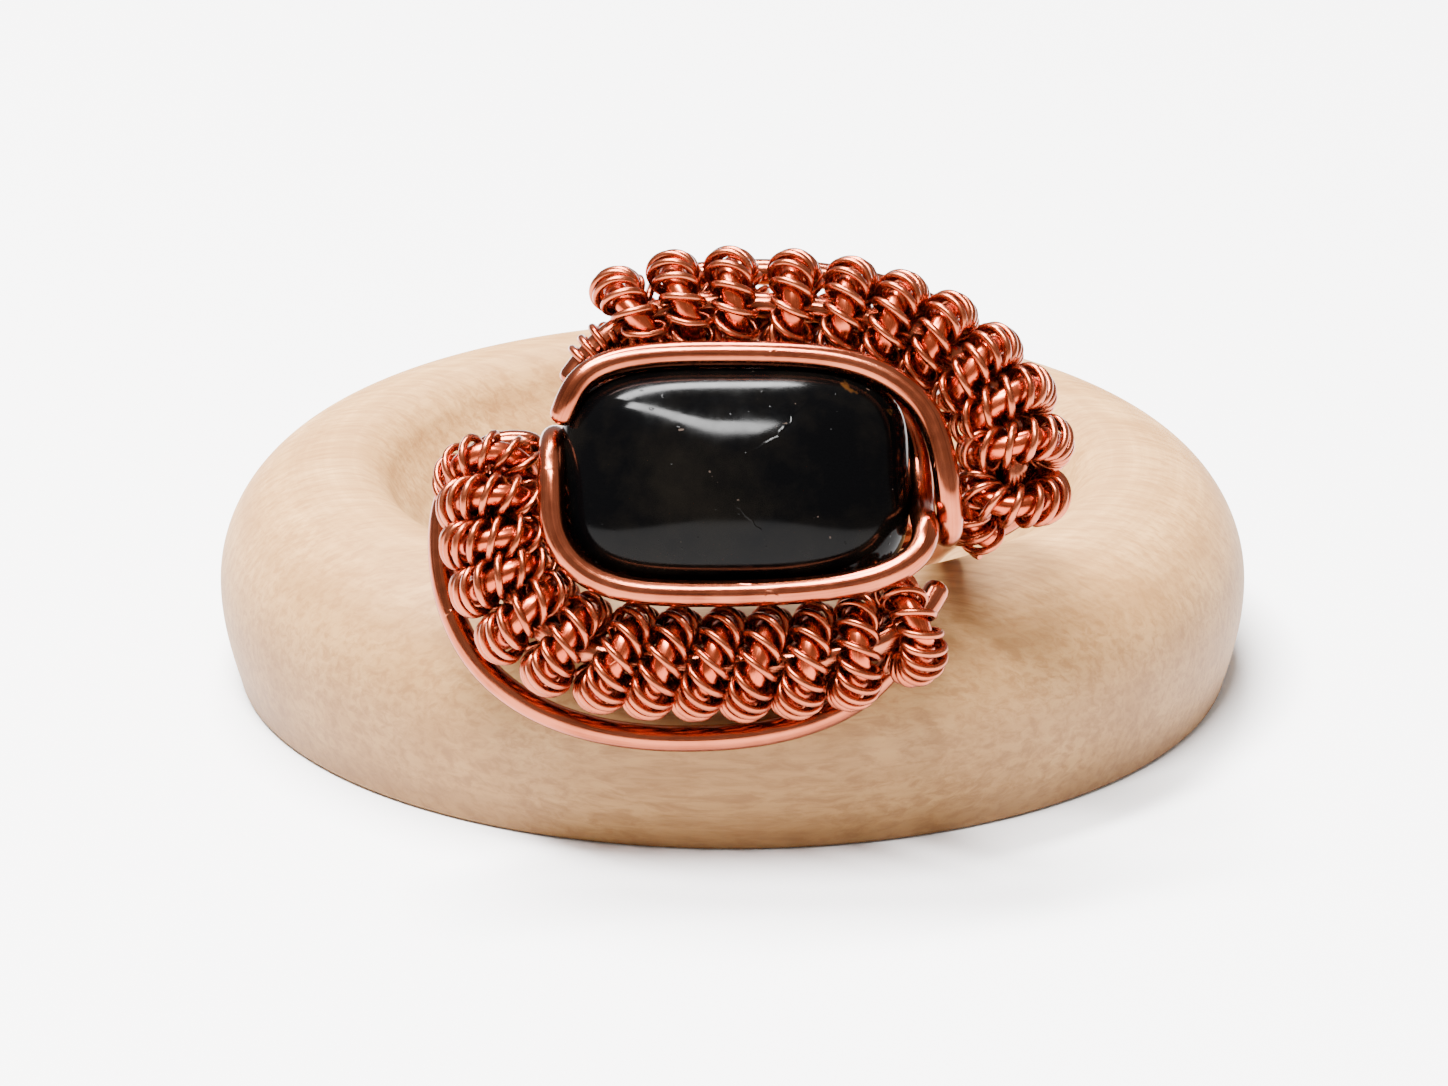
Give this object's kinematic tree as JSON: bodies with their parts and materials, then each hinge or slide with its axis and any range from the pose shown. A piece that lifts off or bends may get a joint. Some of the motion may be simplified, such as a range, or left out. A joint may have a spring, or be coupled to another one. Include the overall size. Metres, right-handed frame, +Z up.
{
  "type": "wire-wrapped ring on a wooden display dish",
  "caption": "Finger ring of wrapped copper wire round one long black stone, sitting astride the rim of a small turned wooden dish.",
  "frame": {"origin": "centre of the dish's flat foot, on the surface that it stands on", "axes": "+Z up; -Y towards the side of the rim that the ring sits on, which is the side that the stone faces; +X to the right as seen from there"},
  "size_m": [0.05, 0.0532, 0.0263],
  "materials": {
    "copper": "polished copper wire",
    "tourmaline": "glossy black",
    "wood": "sanded, unvarnished"
  },
  "bodies": {
    "root": {"stone": "tourmaline", "frame_wire": "copper", "upper_arm_wire": "copper", "lower_arm_wire": "copper", "upper_coil_core": "copper", "lower_coil_core": "copper", "dish": "wood"}
  },
  "joints": []
}
